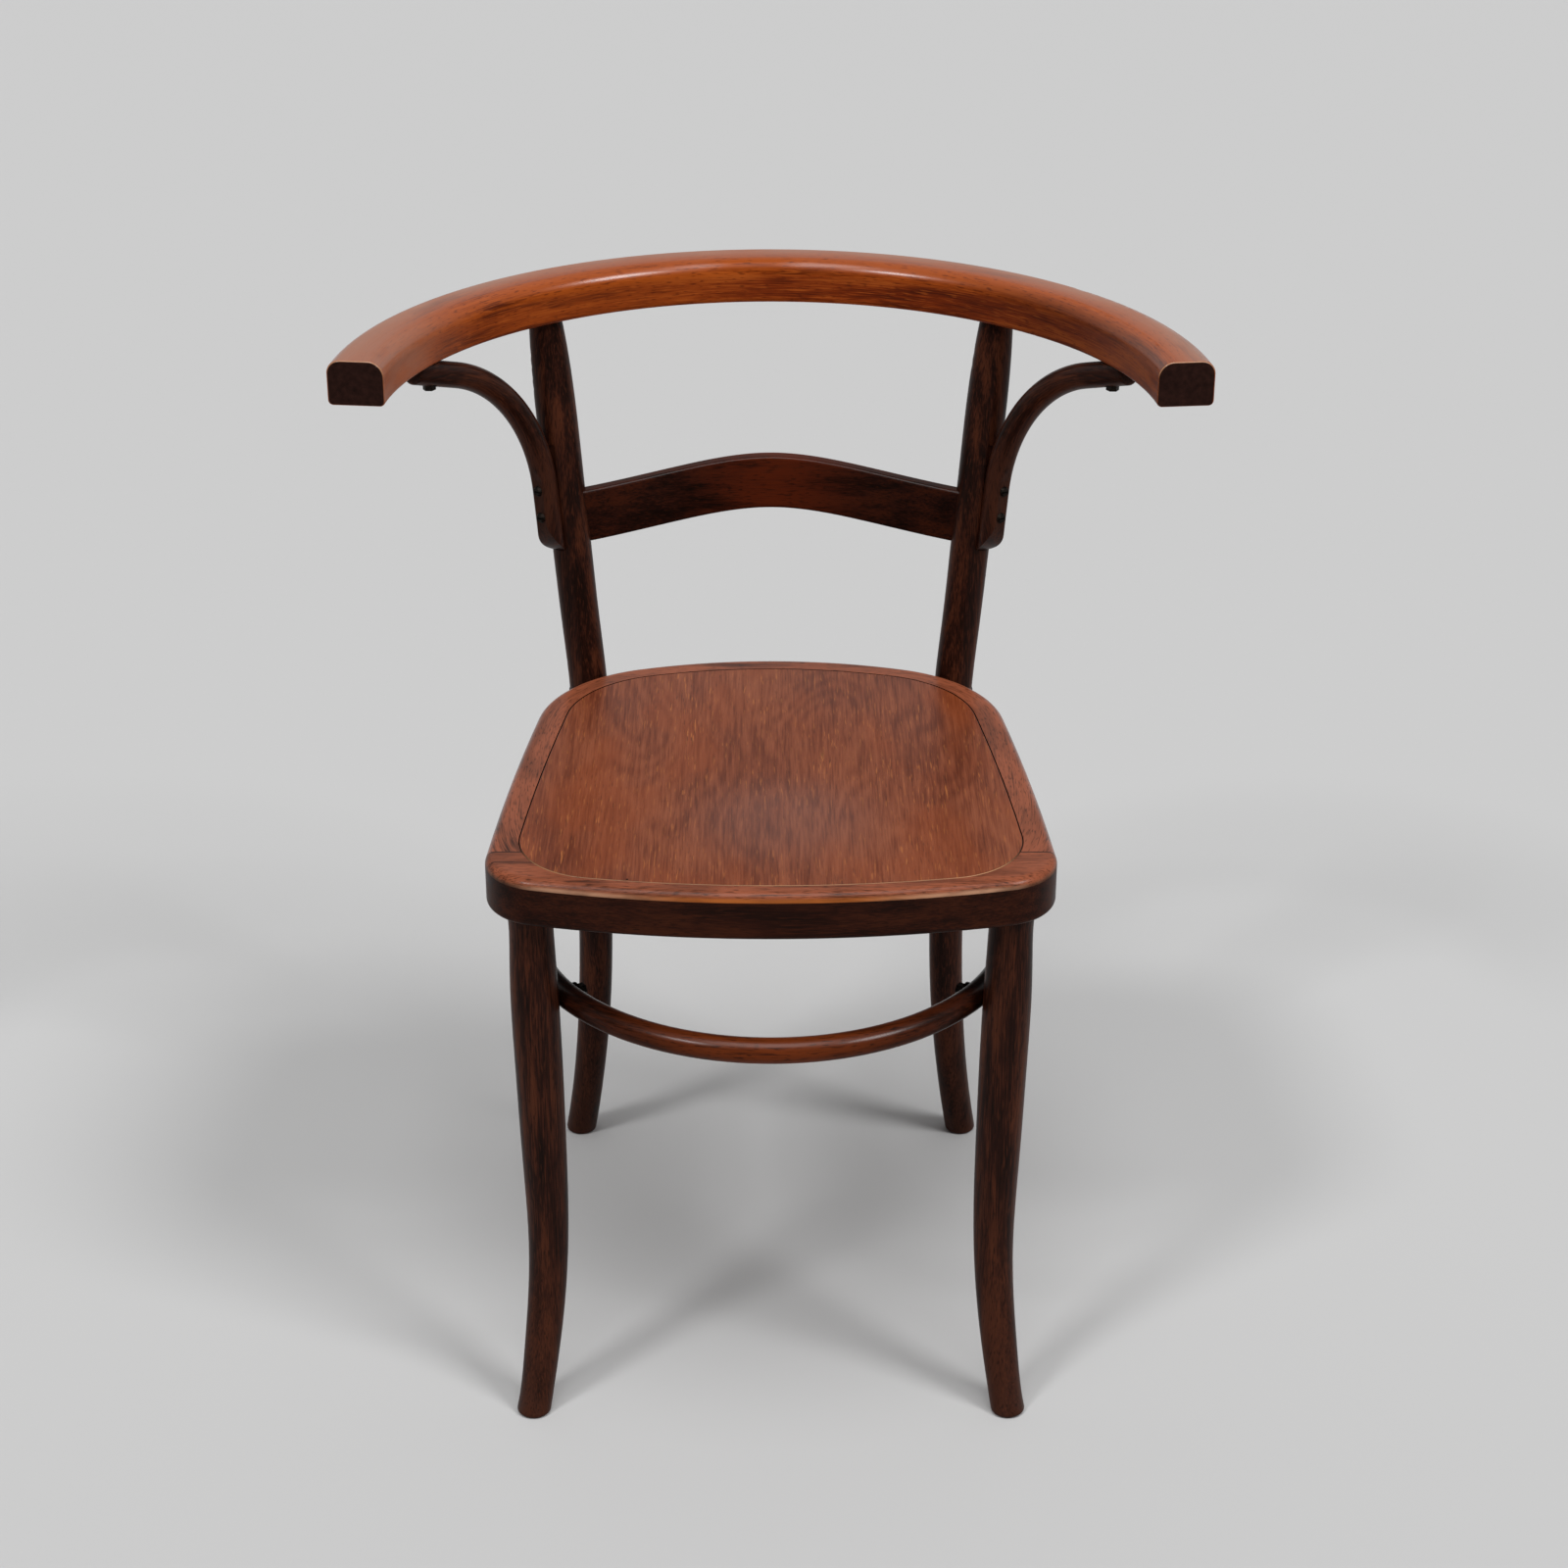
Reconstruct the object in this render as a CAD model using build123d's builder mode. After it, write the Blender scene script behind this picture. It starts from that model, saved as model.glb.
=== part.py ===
"""A bentwood cafe armchair in separate pieces, in millimetres, +Z up, front towards -Y, floor at Z 0.

Places in plan are given from the middle of the seat; seat_y sets that middle in the shared frame, so
that the whole chair stands centred over the origin. Left is the -X side.
"""
import os
from math import asin, cos, hypot, radians, sin, tan

from build123d import *

os.makedirs("parts", exist_ok=True)

# Fits
fit = 0.1                      # play round tenons, dowels, screws and housings
panel_gap = 0.5                # open line round the seat panel
head_room = 1                  # room round bolt heads and washers in their hollows

# Seat frame and panel
seat_height = 460              # top of the seat frame above the floor
frame_thickness = 37
seat_front = 205               # middle of the seat to the front edge
seat_rear = 207                # middle of the seat to the rear edge
half_width_front = 208         # half widths at the corners, before they are rounded
half_width_rear = 175
side_bulge = 4                 # how far the sides swell out between the corners
front_bow_radius = 725
rear_bow_radius = 326
front_corner_radius = 45
rear_corner_radius = 110
top_edge_radius = 7
bottom_edge_radius = 4
joint_setback = 66             # front edge to the line where the front rail meets the bent hoop
panel_thickness = 5
front_margin = 13.5            # frame left showing round the panel
side_margin = 21.5
rear_margin = 20.5
panel_front_corner_radius = 62
panel_rear_corner_radius = 90
panel_edge_radius = 0.8
ledge = 18                     # rest for the panel, inside its edge
dish_radius = 148
dish_depth = 3
dowel_diameter = 7
dowel_length = 36
dowel_pitch = 13
dowel_inset = 13               # dowel centre in from the widest point of the frame

# Arm rail, a half circle of one section
rail_top = 780
rail_radius = 301              # to the middle of the section
rail_width = 42
rail_height = 34
rail_setback = -23             # centre of the half circle, behind the middle of the seat
rail_end_angle = 5.9           # how far each arm stops short of the full half circle
rail_inner_radius = 12         # rounding of the upper inner edge, worn by arms and backs
rail_outer_radius = 10
rail_lower_radius = 4
rail_end_edge = 1.6

# Front legs
front_leg_side_inset = 34      # leg middle in from the side and the front of the seat
front_leg_front_inset = 47
front_leg_lean = 9             # how far the straight part draws in from seat to floor
front_flare_x = 18
front_flare_y = -28
front_flare_height = 180
# Diameters, each with its share of the height from floor to seat
front_leg_girth = ((0, 26.4), (0.1, 26.8), (0.21, 28.6), (0.33, 30.2), (0.47, 32.8), (0.61, 34.6),
                   (0.73, 35.5), (0.87, 34.6), (1, 33))
leg_tenon_diameter = 22
leg_tenon_length = 25
foot_edge = 3

# Back posts, each one piece from the floor to the rail
post_side_inset = 27           # post middle in from the rear corner of the seat
post_rear_inset = 24
post_waist_rise = 17           # underside of the seat frame to where the post starts to lean out and back
post_rail_angle = 54           # place of the post under the rail, round the half circle
post_flare_x = 20
post_flare_y = 38
post_flare_x_height = 240
post_flare_y_height = 300
# Diameters, each with its share of the height from floor to rail
post_girth = ((0, 26), (0.05, 26), (0.12, 26.6), (0.2, 27.6), (0.3, 28.2), (0.4, 29), (0.5, 30),
              (0.59, 30.7), (0.67, 30.8), (0.76, 31.2), (0.85, 32), (0.92, 32), (0.967, 29.4), (1, 25.5))
post_tenon_diameter = 18
post_tenon_length = 21
post_bolt_rise = 15            # bolt above the underside of the seat frame

# Splat between the posts
splat_height = 43.5
splat_thickness = 13
splat_low = 565                # underside of the splat at the posts
splat_rise = 20.5              # how much higher the crest is than the ends
splat_shoulder = 76            # half length of the raised middle
splat_shoulder_rise = 11       # rise at the shoulders
splat_bow = 28                 # how far the middle bends back
splat_edge = 2.5
splat_seat = 5                 # end of the splat to the middle of the post that it is let into

# Brackets between posts and rail
bracket_diameter = 20
bracket_foot = 563             # height of the lower end
bracket_bend = 115             # radius of the bend
bracket_slope = 15.5           # how steeply the bracket still climbs at the bolt, in degrees
bracket_flat = 1.1             # depth of the flats where bracket and post meet
bracket_face = 1.2             # depth of the flat under the screw heads
bracket_runout = 26            # length and depth of the slope that ends that flat
bracket_runout_depth = 7.5
bracket_housing = 86           # length of the flat on the post
bracket_nose = 24.5            # height of the sloping lower end
bracket_nose_swell = 4         # how far that slope swells out
bracket_nose_corner = 5        # rounding where the slope meets the flat
bracket_bolt_angle = 27.3      # place of the bolt under the rail, round the half circle
bracket_bolt_inset = 11        # bolt from the middle of the rail towards its inner edge
bracket_bolt_seat = 2          # depth of the flat under the bolt head
bracket_tail = 18              # bracket past the bolt
bracket_end_edge = 3

# Stretcher hoop
hoop_height = 344.5
hoop_diameter = 19
hoop_front_centre = -42        # centres of the front and rear bends
hoop_rear_centre = 60
hoop_housing = 1               # how deep each leg is scooped for the hoop

# Fasteners
rail_bolt_diameter = 6
rail_bolt_grip = 22            # length inside the rail
rail_bolt_head = 10
rail_bolt_head_height = 5
screw_diameter = 4
screw_length = 26
screw_head = 8.5
screw_head_height = 2.2
screw_head_taper = 30          # slope of the sides of the heads, in degrees
screw_slot = 1.1
screw_spacing = 21.5
screw_height = 31              # lower screw above the bracket's lower end
hoop_bolt_diameter = 6
hoop_bolt_grip = 24            # length inside the leg
hoop_bolt_head = 10
hoop_bolt_head_height = 6
hoop_washer = 14
washer_thickness = 1.5
hoop_spot_depth = 1.6
post_bolt_diameter = 7
post_bolt_head = 16
post_bolt_head_height = 3.2
post_bolt_spot = 1
post_washer = 18
post_nut = 12
post_nut_height = 6
post_nut_spot = 3
bolt_past_nut = 3
pin_diameter = 1.8
pin_inset = 3                  # pin in from the front edge of the panel
pin_length = 12
pin_x = -102

# Sizes that follow from the ones above
bracket_radius = bracket_diameter / 2
hoop_thickness = hoop_diameter / 2
frame_bottom = seat_height - frame_thickness
rail_bottom = rail_top - rail_height
panel_bottom = seat_height - panel_thickness
front_leg_x = half_width_front - front_leg_side_inset
front_leg_y = front_leg_front_inset - seat_front
post_x = half_width_rear - post_side_inset
post_y = seat_rear - post_rear_inset
post_waist = frame_bottom + post_waist_rise
post_bolt_height = frame_bottom + post_bolt_rise


def radius_at(girth, share):
    """Radius of a leg at a share of its height, between the shares where its girth is given."""
    low, low_size = max(size for size in girth if size[0] <= share)
    high, high_size = min(size for size in girth if size[0] > share)
    return (low_size + (share - low) / (high - low) * (high_size - low_size)) / 2


def flare(height, start):
    """Share of a leg's outward sweep, none above start and all of it at the floor."""
    return max(0.0, 1 - height / start) ** 2


def front_leg_centre(side, height):
    sweep_out = flare(height, front_flare_height)
    x = front_leg_x - front_leg_lean * (1 - height / frame_bottom) + front_flare_x * sweep_out
    y = front_leg_y + front_flare_y * sweep_out
    return side * x, y


def on_rail(radius, angle, side):
    """Point in plan on a circle about the rail's centre, by its angle up from the X axis."""
    return side * radius * cos(radians(angle)), rail_setback + radius * sin(radians(angle))


def post_centre(side, height):
    top_x, top_y = on_rail(rail_radius, post_rail_angle, 1)
    lean = max(0.0, (height - post_waist) / (rail_bottom - post_waist))
    x = post_x + post_flare_x * flare(height, post_flare_x_height) + lean * (top_x - post_x)
    y = post_y + post_flare_y * flare(height, post_flare_y_height) + lean * (top_y - post_y)
    return side * x, y


# Bends of the hoop, each tangent to the pair of legs it is bolted to
front_contact = front_leg_centre(1, hoop_height)
rear_contact = post_centre(1, hoop_height)
hoop_front_radius = (hypot(front_contact[0], front_contact[1] - hoop_front_centre) + hoop_housing
                     - radius_at(front_leg_girth, hoop_height / frame_bottom) - hoop_thickness)
hoop_rear_radius = (hypot(rear_contact[0], rear_contact[1] - hoop_rear_centre) + hoop_housing
                    - radius_at(post_girth, hoop_height / rail_bottom) - hoop_thickness)

# Middle of the seat in the shared frame
back_reach = rail_setback + rail_radius + rail_width / 2
front_reach = hoop_front_radius - hoop_front_centre + hoop_thickness
seat_y = (front_reach - back_reach) / 2
ground = Plane((0, seat_y, 0))
upright = Plane((0, seat_y, 0), x_dir=(1, 0, 0), z_dir=(0, -1, 0))
sides = (-1, 1)


def place(point, height):
    """Point of the shared frame from a plan point and a height."""
    return Vector(point[0], point[1] + seat_y, height)


def seat_shape(height, front, side, rear, front_corner, rear_corner):
    """Seat outline at a height, drawn in from the outer edge by the front, side and rear amounts."""
    wide = half_width_front - side
    narrow = half_width_rear - side
    front_y = front - seat_front
    rear_y = seat_rear - rear
    front_turn = front_y + wide ** 2 / (2 * front_bow_radius)
    rear_turn = rear_y - narrow ** 2 / (2 * rear_bow_radius)
    middle = ((wide + narrow) / 2 + side_bulge, (front_turn + rear_turn) / 2)
    with BuildSketch(ground.offset(height)) as shape:
        with BuildLine():
            ThreePointArc((-wide, front_turn), (0, front_y), (wide, front_turn))
            ThreePointArc((wide, front_turn), middle, (narrow, rear_turn))
            ThreePointArc((narrow, rear_turn), (0, rear_y), (-narrow, rear_turn))
            ThreePointArc((-narrow, rear_turn), (-middle[0], middle[1]), (-wide, front_turn))
        make_face()
        fillet(shape.vertices().group_by(Axis.Y)[0], front_corner)
        fillet(shape.vertices().group_by(Axis.Y)[-1], rear_corner)
    return shape.sketch


def hoop_space(radius):
    """Solid of the stretcher hoop with a given half thickness."""
    slant = asin((hoop_front_radius - hoop_rear_radius) / (hoop_rear_centre - hoop_front_centre))
    front_x = hoop_front_radius * cos(slant)
    front_y = hoop_front_centre + hoop_front_radius * sin(slant)
    rear_x = hoop_rear_radius * cos(slant)
    rear_y = hoop_rear_centre + hoop_rear_radius * sin(slant)
    with BuildPart() as space:
        with BuildLine(ground.offset(hoop_height)) as path:
            ThreePointArc((-front_x, front_y), (0, hoop_front_centre - hoop_front_radius),
                          (front_x, front_y))
            Line((front_x, front_y), (rear_x, rear_y))
            ThreePointArc((rear_x, rear_y), (0, hoop_rear_centre + hoop_rear_radius), (-rear_x, rear_y))
            Line((-rear_x, rear_y), (-front_x, front_y))
        with BuildSketch(Plane(path.wire() @ 0, z_dir=path.wire() % 0)):
            Circle(radius)
        sweep(path=path.wire())
    return space.part


def hoop_bolt_place(side, leg, centre, radius):
    """Plane on the inside of the hoop where a bolt head and washer sit, looking into the leg."""
    outward = Vector(side * leg[0], leg[1] - centre, 0).normalized()
    face = radius - hoop_thickness + hoop_spot_depth
    return Plane(place((outward.X * face, centre + outward.Y * face), hoop_height), z_dir=outward)


# Fastener places
hoop_bolt_places = [hoop_bolt_place(side, *bend) for side in sides
                    for bend in ((front_contact, hoop_front_centre, hoop_front_radius),
                                 (rear_contact, hoop_rear_centre, hoop_rear_radius))]


def splat_space(extra):
    """Solid of the splat, larger by extra on every side: bowed back in plan, arched in front view."""
    middle_height = splat_low + splat_height / 2
    end_x, end_y = post_centre(1, middle_height)
    half = end_x - splat_seat + extra
    near = end_y - splat_thickness / 2 - extra
    far = end_y + splat_thickness / 2 + extra
    low = splat_low - extra
    high = splat_low + splat_height + extra
    with BuildPart() as space:
        with BuildSketch(ground.offset(low)):
            with BuildLine():
                ThreePointArc((-half, near), (0, near + splat_bow), (half, near))
                Line((half, near), (half, far))
                ThreePointArc((half, far), (0, far + splat_bow), (-half, far))
                Line((-half, far), (-half, near))
            make_face()
        extrude(amount=high + splat_rise - low)
        with BuildSketch(upright):
            with BuildLine():
                for edge in (low, high):
                    Spline((-half, edge), (-splat_shoulder, edge + splat_shoulder_rise),
                           (0, edge + splat_rise),
                           (splat_shoulder, edge + splat_shoulder_rise), (half, edge))
                for end in (-half, half):
                    Line((end, low), (end, high))
            make_face()
        extrude(amount=far + splat_bow, both=True, mode=Mode.INTERSECT)
    return space.part


def bracket_plane(side):
    """Plane of a bracket: local X runs from the post out to the rail, local Y up along the post."""
    low = place(post_centre(side, bracket_foot), bracket_foot)
    along = (place(post_centre(side, rail_bottom), rail_bottom) - low).normalized()
    span = bracket_bolt_point(side) - low
    outward = (span - along * span.dot(along)).normalized()
    return Plane(low, x_dir=outward, z_dir=outward.cross(along))


def bracket_bolt_point(side):
    """Middle of the bracket at its bolt under the rail."""
    level = rail_bottom - bracket_radius + bracket_flat
    return place(on_rail(rail_radius - bracket_bolt_inset, bracket_bolt_angle, side), level)


# Places across a bracket, from the middle of the post outwards
bracket_seat = radius_at(post_girth, bracket_foot / rail_bottom) - bracket_flat
bracket_middle = bracket_seat + bracket_radius - bracket_flat
bracket_front = bracket_middle + bracket_radius - bracket_face


def screw_places(side):
    """Planes under the two screw heads of a bracket, looking into the post."""
    plane = bracket_plane(side)
    heights = (screw_height, screw_height + screw_spacing)
    return [Plane(plane.from_local_coords((bracket_front, height)), z_dir=-plane.x_dir)
            for height in heights]


def rail_bolt_place(side):
    """Plane under a bracket where a bolt head sits, looking up into the rail."""
    point = bracket_bolt_point(side)
    return Plane((point.X, point.Y, point.Z - bracket_radius + bracket_bolt_seat))


def post_bolt_line(side):
    """Plane at the middle of a post, looking out of the seat, with the depth to the inside of the frame."""
    middle = place(post_centre(side, post_bolt_height), post_bolt_height)
    edge = seat_outline.closest_points(Vertex(middle))[0]
    return Plane(middle, z_dir=(middle - edge).normalized()), seat_opening.distance_to(Vertex(middle))


def rods(places, start, diameter, length, mode=Mode.ADD):
    """Round rods of the part being made, one at each place, from start along its direction."""
    with Locations(*[plane.offset(start) for plane in places]):
        Cylinder(diameter / 2, length, align=(Align.CENTER, Align.CENTER, Align.MIN), mode=mode)


# Seat faces at the height of the post bolts, and the lines of those bolts
rear_opening_radius = panel_rear_corner_radius - ledge
seat_outline = seat_shape(post_bolt_height, 0, 0, 0, front_corner_radius, rear_corner_radius)
seat_opening = seat_shape(post_bolt_height, front_margin + ledge, side_margin + ledge, rear_margin + ledge,
                          panel_front_corner_radius, rear_opening_radius)
post_bolt_planes = [post_bolt_line(side)[0] for side in sides]
post_bolt_inside = post_nut_spot - post_bolt_line(1)[1]
post_bolt_outside = radius_at(post_girth, post_bolt_height / rail_bottom) - post_bolt_spot

# Places of the other fasteners and joints
joint_y = joint_setback - seat_front
dowel_x = half_width_front - dowel_inset
dowel_levels = (frame_bottom + dowel_diameter, frame_bottom + dowel_diameter + dowel_pitch)
dowel_planes = [Plane(place((side * dowel_x, joint_y), level), z_dir=(0, 1, 0))
                for side in sides for level in dowel_levels]
leg_tops = {side: Plane(place(front_leg_centre(side, frame_bottom), frame_bottom)) for side in sides}
post_tops = {side: Plane(place(post_centre(side, rail_bottom), rail_bottom)) for side in sides}
rail_bolt_places = [rail_bolt_place(side) for side in sides]
bracket_screw_places = [spot for side in sides for spot in screw_places(side)]
rail_bolt_length = bracket_diameter - bracket_flat - bracket_bolt_seat + rail_bolt_grip
hoop_bolt_length = hoop_diameter - hoop_spot_depth + hoop_bolt_grip
pin_y = front_margin - seat_front + pin_x ** 2 / (2 * front_bow_radius) + pin_inset
pin_places = [Plane(place((pin_x, pin_y), seat_height), z_dir=(0, 0, -1))]


def make_seat_frame(keep):
    """Front rail or bent hoop of the seat frame, the part kept on one side of the joint line."""
    with BuildPart() as frame:
        extrude(seat_shape(frame_bottom, 0, 0, 0, front_corner_radius, rear_corner_radius),
                amount=frame_thickness)
        fillet(frame.edges().group_by(Axis.Z)[-1], top_edge_radius)
        fillet(frame.edges().group_by(Axis.Z)[0], bottom_edge_radius)
        extrude(seat_shape(panel_bottom, front_margin, side_margin, rear_margin,
                           panel_front_corner_radius, panel_rear_corner_radius),
                amount=panel_thickness, mode=Mode.SUBTRACT)
        extrude(seat_shape(frame_bottom, front_margin + ledge, side_margin + ledge, rear_margin + ledge,
                           panel_front_corner_radius, rear_opening_radius),
                amount=frame_thickness, mode=Mode.SUBTRACT)
        split(bisect_by=Plane((0, seat_y + joint_y, 0), z_dir=(0, 1, 0)), keep=keep)
        rods(dowel_planes, -dowel_length / 2 - fit, dowel_diameter + 2 * fit, dowel_length + 2 * fit,
             Mode.SUBTRACT)
        rods(leg_tops.values(), 0, leg_tenon_diameter + 2 * fit, leg_tenon_length + fit, Mode.SUBTRACT)
        rods(post_bolt_planes, post_bolt_inside, post_bolt_diameter + 2 * fit, -post_bolt_inside,
             Mode.SUBTRACT)
        rods(post_bolt_planes, post_bolt_inside - ledge, post_washer + 2 * head_room, ledge, Mode.SUBTRACT)
        rods(pin_places, 0, pin_diameter + 2 * fit, pin_length + fit, Mode.SUBTRACT)
    return frame


def make_front_leg(side):
    """Sabre-curved front leg with a round tenon for the seat frame."""
    with BuildPart() as leg:
        for share, diameter in front_leg_girth:
            with BuildSketch(ground.offset(share * frame_bottom)):
                with Locations(front_leg_centre(side, share * frame_bottom)):
                    Circle(diameter / 2)
        loft()
        fillet(leg.edges().group_by(Axis.Z)[0], foot_edge)
        rods([leg_tops[side]], 0, leg_tenon_diameter, leg_tenon_length)
        add(hoop_space(hoop_thickness + fit), mode=Mode.SUBTRACT)
        rods(hoop_bolt_places, 0, hoop_bolt_diameter + 2 * fit, hoop_bolt_length + fit, Mode.SUBTRACT)
    return leg


def make_back_post(side):
    """Rear leg and back post in one bent piece, housed for the seat frame, hoop, splat and bracket."""
    plane = bracket_plane(side)
    with BuildPart() as post:
        for share, diameter in post_girth:
            with BuildSketch(ground.offset(share * rail_bottom)):
                with Locations(post_centre(side, share * rail_bottom)):
                    Circle(diameter / 2)
        loft()
        fillet(post.edges().group_by(Axis.Z)[0], foot_edge)
        rods([post_tops[side]], 0, post_tenon_diameter, post_tenon_length)
        add(hoop_space(hoop_thickness + fit), mode=Mode.SUBTRACT)
        rods(hoop_bolt_places, 0, hoop_bolt_diameter + 2 * fit, hoop_bolt_length + fit, Mode.SUBTRACT)
        extrude(seat_shape(frame_bottom - fit, -fit, -fit, -fit, front_corner_radius, rear_corner_radius),
                amount=frame_thickness + 2 * fit, mode=Mode.SUBTRACT)
        rods(post_bolt_planes, post_bolt_inside, post_bolt_diameter + 2 * fit,
             post_bolt_outside - post_bolt_inside, Mode.SUBTRACT)
        rods(post_bolt_planes, post_bolt_outside, post_bolt_head + 2 * head_room, post_bolt_head,
             Mode.SUBTRACT)
        add(splat_space(fit), mode=Mode.SUBTRACT)
        with BuildSketch(plane):
            with Locations((bracket_seat, 0)):
                Rectangle(bracket_diameter, bracket_housing, align=(Align.MIN, Align.MIN))
        extrude(amount=bracket_diameter, both=True, mode=Mode.SUBTRACT)
        rods(screw_places(side), 0, screw_diameter + 2 * fit, screw_length + fit, Mode.SUBTRACT)
    return post


def make_bracket(side):
    """Bent bracket from post to rail: flat against both, flat under its screws, its lower end sloped."""
    plane = bracket_plane(side)
    bolt = plane.to_local_coords(bracket_bolt_point(side))
    slope = radians(bracket_slope)
    bend_x = bracket_middle + bracket_bend * (1 - sin(slope))
    bend_y = bolt.Y - (bolt.X - bend_x) * tan(slope)
    straight = bend_y - bracket_bend * cos(slope)
    tail = bolt.X + bracket_tail
    flat_end = screw_height + screw_spacing + screw_head
    runout = flat_end + bracket_runout
    nose = (bracket_front, bracket_nose)
    with BuildPart() as bracket:
        with BuildLine(plane) as path:
            Line((bracket_middle, 0), (bracket_middle, straight))
            CenterArc((bracket_middle + bracket_bend, straight), bracket_bend,
                      start_angle=90 + bracket_slope, arc_size=90 - bracket_slope)
            Line((bend_x, bend_y), (tail, bolt.Y + bracket_tail * tan(slope)))
        with BuildSketch(Plane(plane.from_local_coords((bracket_middle, 0)), z_dir=plane.y_dir)):
            Circle(bracket_radius)
        sweep(path=path.wire())
        fillet(bracket.faces().sort_by(Axis(plane.origin, plane.x_dir))[-1].edges(), bracket_end_edge)
        split(bisect_by=Plane((0, 0, rail_bottom)), keep=Keep.BOTTOM)
        split(bisect_by=Plane(plane.from_local_coords((bracket_seat, 0)), z_dir=plane.x_dir), keep=Keep.TOP)
        with BuildSketch(plane) as waste:
            with BuildLine():
                SagittaArc((bracket_seat, 0), nose, -bracket_nose_swell)
                Polyline(nose, (bracket_front, flat_end), (bracket_front + bracket_runout_depth, runout),
                         (tail, runout), (tail, -fit), (bracket_seat, -fit), (bracket_seat, 0))
            make_face()
            fillet(waste.vertices().sort_by_distance(plane.from_local_coords(nose))[0], bracket_nose_corner)
        extrude(amount=bracket_diameter, both=True, mode=Mode.SUBTRACT)
        rods(screw_places(side), 0, screw_diameter + 2 * fit, screw_length, Mode.SUBTRACT)
        rods([rail_bolt_place(side)], 0, rail_bolt_diameter + 2 * fit, rail_bolt_length, Mode.SUBTRACT)
        rods([rail_bolt_place(side)], -bracket_diameter, rail_bolt_head + 2 * head_room, bracket_diameter,
             Mode.SUBTRACT)
    return bracket


# Arm rail, turned through its half circle, bored for the posts and the bracket bolts
with BuildPart() as arm_rail:
    end_turn = radians(rail_end_angle)
    rail_plane = Plane((0, seat_y + rail_setback, 0), x_dir=(cos(end_turn), sin(end_turn), 0),
                       z_dir=(sin(end_turn), -cos(end_turn), 0))
    with BuildSketch(rail_plane) as rail_section:
        with Locations((rail_radius, rail_top - rail_height / 2)):
            Rectangle(rail_width, rail_height)
        upper = rail_section.vertices().group_by(Axis.Y)[-1].sort_by(Axis.X)
        fillet(upper[0], rail_inner_radius)
        upper = rail_section.vertices().group_by(Axis.Y)[-1].sort_by(Axis.X)
        fillet(upper[-1], rail_outer_radius)
        fillet(rail_section.vertices().group_by(Axis.Y)[0], rail_lower_radius)
    revolve(axis=Axis((0, seat_y + rail_setback, 0), (0, 0, 1)), revolution_arc=180 - 2 * rail_end_angle)
    fillet(arm_rail.faces().filter_by(GeomType.PLANE).group_by(Axis.Y)[0].edges(), rail_end_edge)
    rods(post_tops.values(), 0, post_tenon_diameter + 2 * fit, post_tenon_length + fit, Mode.SUBTRACT)
    rods(rail_bolt_places, 0, rail_bolt_diameter + 2 * fit, rail_bolt_length + fit, Mode.SUBTRACT)

# Seat panel, pressed to a shallow dish
with BuildPart() as seat_panel:
    extrude(seat_shape(panel_bottom, front_margin + panel_gap, side_margin + panel_gap,
                       rear_margin + panel_gap, panel_front_corner_radius, panel_rear_corner_radius),
            amount=panel_thickness)
    fillet(seat_panel.edges().group_by(Axis.Z)[-1], panel_edge_radius)
    for level, change in ((panel_bottom, Mode.ADD), (seat_height, Mode.SUBTRACT)):
        with BuildSketch(upright):
            with BuildLine():
                Spline((0, level - dish_depth), (dish_radius / 2, level - dish_depth / 2),
                       (dish_radius, level), tangents=((1, 0), (1, 0)))
                Polyline((dish_radius, level), (0, level), (0, level - dish_depth))
            make_face()
        revolve(axis=Axis((0, seat_y, 0), (0, 0, 1)), mode=change)
    rods(pin_places, 0, pin_diameter + 2 * fit, panel_thickness, Mode.SUBTRACT)

# Splat between the posts
with BuildPart() as back_splat:
    add(splat_space(0))
    fillet(back_splat.edges().filter_by(lambda edge: edge.length > 2 * splat_shoulder), splat_edge)

# Stretcher hoop, flattened and bored where it is bolted to the legs
with BuildPart() as stretcher_hoop:
    add(hoop_space(hoop_thickness))
    rods(hoop_bolt_places, -hoop_diameter, hoop_washer + 2 * head_room, hoop_diameter, Mode.SUBTRACT)
    rods(hoop_bolt_places, 0, hoop_bolt_diameter + 2 * fit, hoop_diameter, Mode.SUBTRACT)

# Fasteners, one group for each kind
with BuildPart() as seat_frame_dowels:
    rods(dowel_planes, -dowel_length / 2, dowel_diameter, dowel_length)

with BuildPart() as bracket_rail_bolts:
    rods(rail_bolt_places, 0, rail_bolt_diameter, rail_bolt_length)
    with BuildSketch(*rail_bolt_places):
        RegularPolygon(rail_bolt_head / 2, 6)
    extrude(amount=-rail_bolt_head_height)

with BuildPart() as bracket_post_screws:
    rods(bracket_screw_places, 0, screw_diameter, screw_length)
    with BuildSketch(*bracket_screw_places):
        Circle(screw_head / 2)
    extrude(amount=-screw_head_height, taper=screw_head_taper)
    with BuildSketch(*[spot.offset(-screw_head_height) for spot in bracket_screw_places]):
        Rectangle(screw_head, screw_slot)
    extrude(amount=screw_slot, mode=Mode.SUBTRACT)

with BuildPart() as hoop_bolts:
    rods(hoop_bolt_places, -washer_thickness, hoop_bolt_diameter, hoop_bolt_length + washer_thickness)
    with BuildSketch(*[spot.offset(-washer_thickness) for spot in hoop_bolt_places]):
        RegularPolygon(hoop_bolt_head / 2, 6)
    extrude(amount=-hoop_bolt_head_height)

with BuildPart() as hoop_washers:
    rods(hoop_bolt_places, -washer_thickness, hoop_washer, washer_thickness)
    rods(hoop_bolt_places, -washer_thickness, hoop_bolt_diameter + 2 * fit, washer_thickness, Mode.SUBTRACT)

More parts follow.
